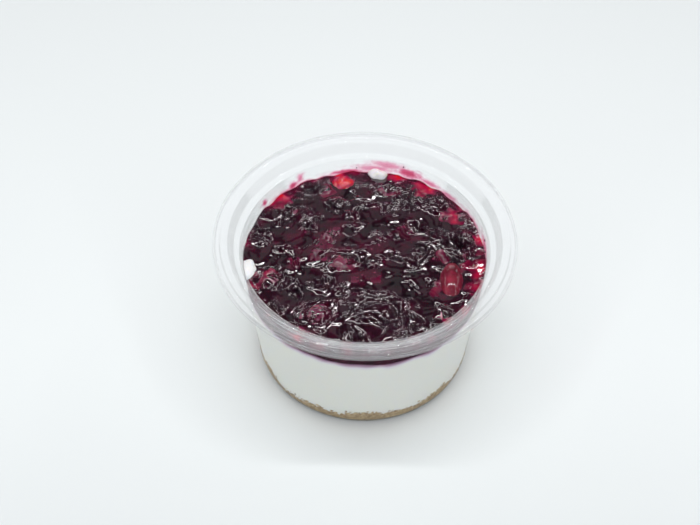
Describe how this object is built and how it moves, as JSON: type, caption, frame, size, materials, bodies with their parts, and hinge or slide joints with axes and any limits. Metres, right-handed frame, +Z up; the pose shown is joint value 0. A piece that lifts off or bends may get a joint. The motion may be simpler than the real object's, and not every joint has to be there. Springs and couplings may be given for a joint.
{
  "type": "cheesecake cup",
  "caption": "Layered cheesecake in a clear wide-rimmed plastic cup: crumb base, cream cheese and a dark berry compote with whole berries.",
  "frame": {"origin": "centre of the foot, on the surface the cup stands on", "axes": "+Z up through the mouth"},
  "size_m": [0.095, 0.095, 0.0538],
  "materials": {
    "clear_plastic": "gloss",
    "crumb": "matte",
    "cream": "satin",
    "compote": "gloss",
    "dark_berry": "gloss",
    "red_berry": "gloss"
  },
  "bodies": {
    "root": {"cup": "clear_plastic", "crust": "crumb", "cream": "cream", "compote": "compote", "berry_01": "red_berry", "berry_02": "red_berry", "berry_03": "dark_berry", "berry_04": "dark_berry", "berry_05": "dark_berry", "berry_06": "dark_berry", "berry_07": "dark_berry", "berry_08": "dark_berry", "berry_09": "dark_berry", "berry_10": "dark_berry", "berry_11": "dark_berry", "berry_12": "dark_berry", "berry_13": "dark_berry", "berry_14": "red_berry", "berry_15": "dark_berry", "berry_16": "dark_berry", "berry_17": "dark_berry"}
  },
  "joints": []
}
